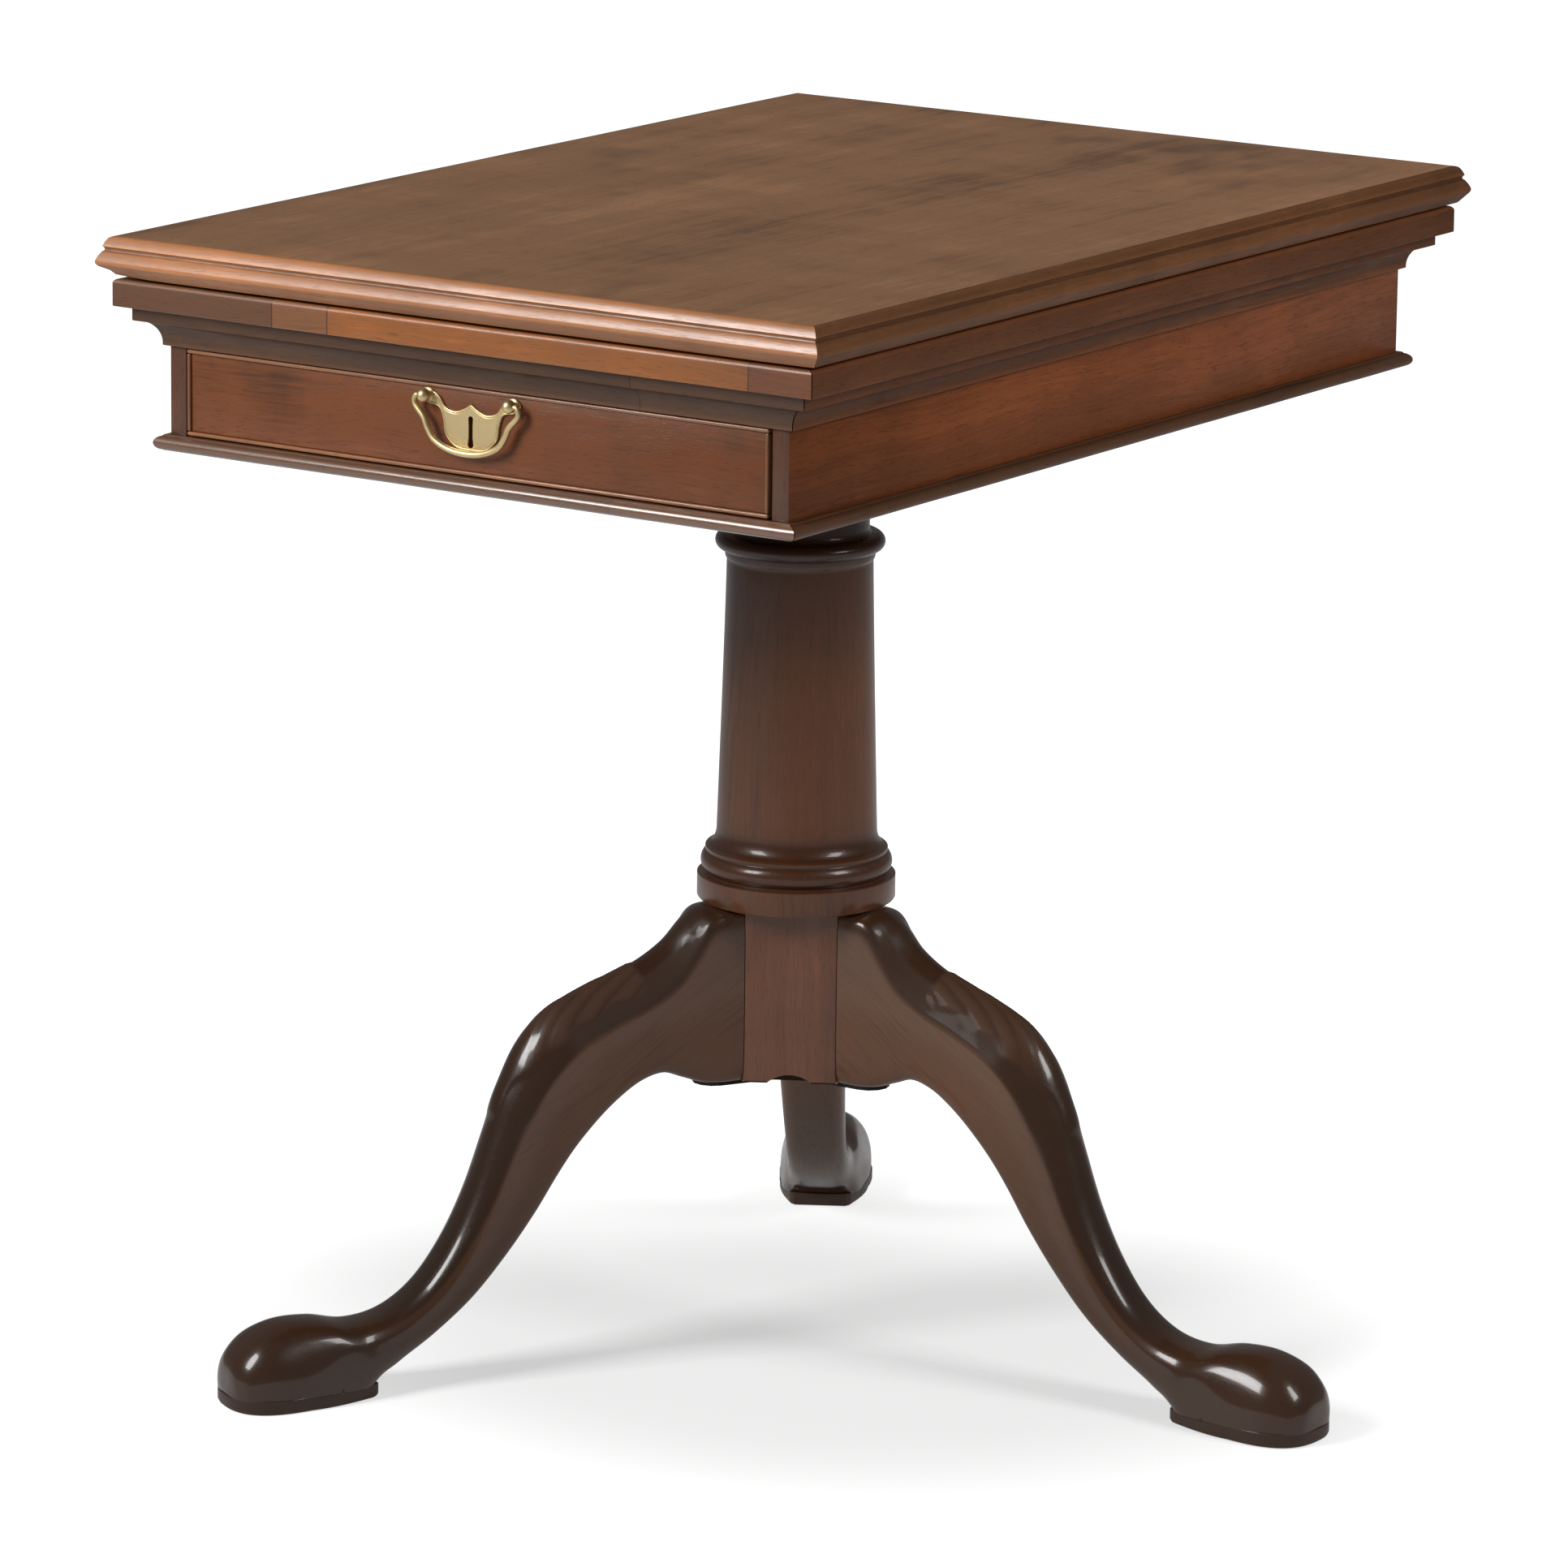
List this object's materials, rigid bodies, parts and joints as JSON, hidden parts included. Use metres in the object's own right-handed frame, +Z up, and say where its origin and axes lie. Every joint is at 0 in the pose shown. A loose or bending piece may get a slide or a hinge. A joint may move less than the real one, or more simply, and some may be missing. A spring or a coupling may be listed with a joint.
{
  "type": "reading table",
  "caption": "Tripod reading table: moulded top tilting on a ratchet easel strut, cornice box with an end drawer and brass bail, turned column, cabriole legs on pad feet.",
  "frame": {"origin": "on the floor, under the middle of the table's bounding box", "axes": "+Z up, -Y towards the drawer end, +X towards the long side that the top's hinges are away from"},
  "size_m": [0.65, 0.752, 0.73],
  "materials": {
    "top_wood": "mid-brown mahogany, old polish with darker stains",
    "frieze_wood": "red-brown mahogany, waxed",
    "moulding_wood": "grey-brown mahogany mouldings, waxed",
    "column_wood": "dark red-brown mahogany, polished",
    "leg_wood": "very dark brown mahogany, glossy",
    "lining_wood": "pale oak, unpolished",
    "brass": "pale old brass, worn bright",
    "iron": "dark forged iron"
  },
  "bodies": {
    "base": {"column": "column_wood", "leg_side": "leg_wood", "leg_rear": "leg_wood", "leg_front": "leg_wood", "spider_plate": "iron", "bearer_block": "column_wood", "box_floor": "frieze_wood", "box_side_left": "frieze_wood", "box_side_right": "frieze_wood", "box_back": "frieze_wood", "front_rail": "frieze_wood", "dust_board": "lining_wood", "cornice_left": "moulding_wood", "cornice_right": "moulding_wood", "cornice_front": "moulding_wood", "cornice_back": "moulding_wood", "base_moulding_left": "moulding_wood", "base_moulding_right": "moulding_wood", "base_moulding_front": "moulding_wood", "base_moulding_back": "moulding_wood", "drawer_stop_left": "lining_wood", "drawer_stop_right": "lining_wood", "rack_front": "lining_wood", "rack_back": "lining_wood", "hinge_front_lower_leaf": "brass", "hinge_back_lower_leaf": "brass", "hinge_front_pin": "brass", "hinge_back_pin": "brass"},
    "top": {"top_board": "top_wood", "hinge_front_upper_leaf": "brass", "hinge_back_upper_leaf": "brass", "strut_bracket_front": "lining_wood", "strut_bracket_back": "lining_wood"},
    "strut": {"strut_pivot_rail": "lining_wood", "strut_arm_front": "lining_wood", "strut_arm_back": "lining_wood", "strut_foot_rail": "lining_wood"},
    "drawer": {"drawer_front": "frieze_wood", "drawer_bead_top": "moulding_wood", "drawer_bead_bottom": "moulding_wood", "drawer_bead_left": "moulding_wood", "drawer_bead_right": "moulding_wood", "drawer_side_left": "lining_wood", "drawer_side_right": "lining_wood", "drawer_back": "lining_wood", "drawer_bottom": "lining_wood", "lock_case": "iron", "handle_plate": "brass", "handle_post_left": "brass", "handle_post_right": "brass", "handle_nut_left": "brass", "handle_nut_right": "brass"},
    "bail": {"bail": "brass"},
    "lock_bolt": {"lock_bolt": "iron"}
  },
  "joints": [
    {"name": "top_tilt", "type": "hinge", "parent": "base", "child": "top", "pos_m": [-0.3204, 0, 0.70565], "axis": [0, -1, 0], "range_deg": [0, 45]},
    {"name": "strut_fold", "type": "hinge", "parent": "top", "child": "strut", "pos_m": [-0.09437, 0, 0.7012], "axis": [0, 1, 0], "range_deg": [0, 90]},
    {"name": "drawer_slide", "type": "slide", "parent": "base", "child": "drawer", "axis": [0, -1, 0], "range_m": [0, 0.3]},
    {"name": "bail_swing", "type": "hinge", "parent": "drawer", "child": "bail", "pos_m": [-0.065, -0.3554, 0.6564], "axis": [-1, 0, 0], "range_deg": [0, 85]},
    {"name": "bolt_throw", "type": "slide", "parent": "drawer", "child": "lock_bolt", "axis": [0, 0, 1], "range_m": [0, 0.008]}
  ],
  "couplings": [
    {"joint": "strut_fold", "follows": "top_tilt", "ratio": 2}
  ]
}
